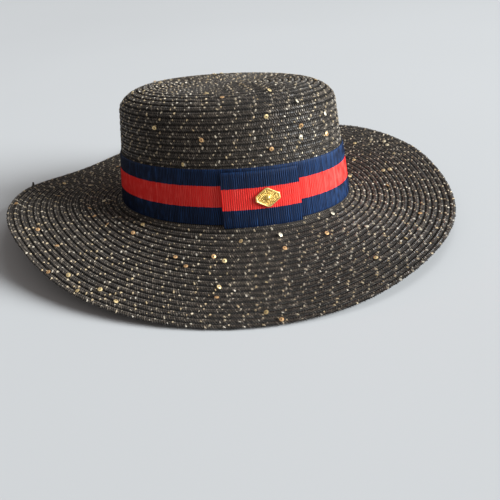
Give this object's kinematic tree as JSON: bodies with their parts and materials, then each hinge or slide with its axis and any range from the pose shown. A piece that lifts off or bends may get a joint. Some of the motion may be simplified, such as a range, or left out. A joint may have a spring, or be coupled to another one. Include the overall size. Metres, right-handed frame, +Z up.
{
  "type": "flat-crown wide-brim straw hat",
  "caption": "Oval flat-topped straw sun hat with a broad waved brim, a striped ribbon band, a ribbon keeper and a brass stud.",
  "frame": {"origin": "middle of the hat's box, on the surface that its rim rests on", "axes": "+Z up from the surface, -Y towards the wearer's front, +X towards the wearer's left"},
  "size_m": [0.348, 0.3766, 0.1129],
  "materials": {
    "straw": "matt plaited paper braid with metallic flecks",
    "ribbon": "ribbed grosgrain, navy with a red middle stripe",
    "brass": "bright granulated gilt brass"
  },
  "bodies": {
    "root": {"crown": "straw", "brim": "straw", "ribbon_band": "ribbon", "ribbon_tab": "ribbon", "stud": "brass"}
  },
  "joints": []
}
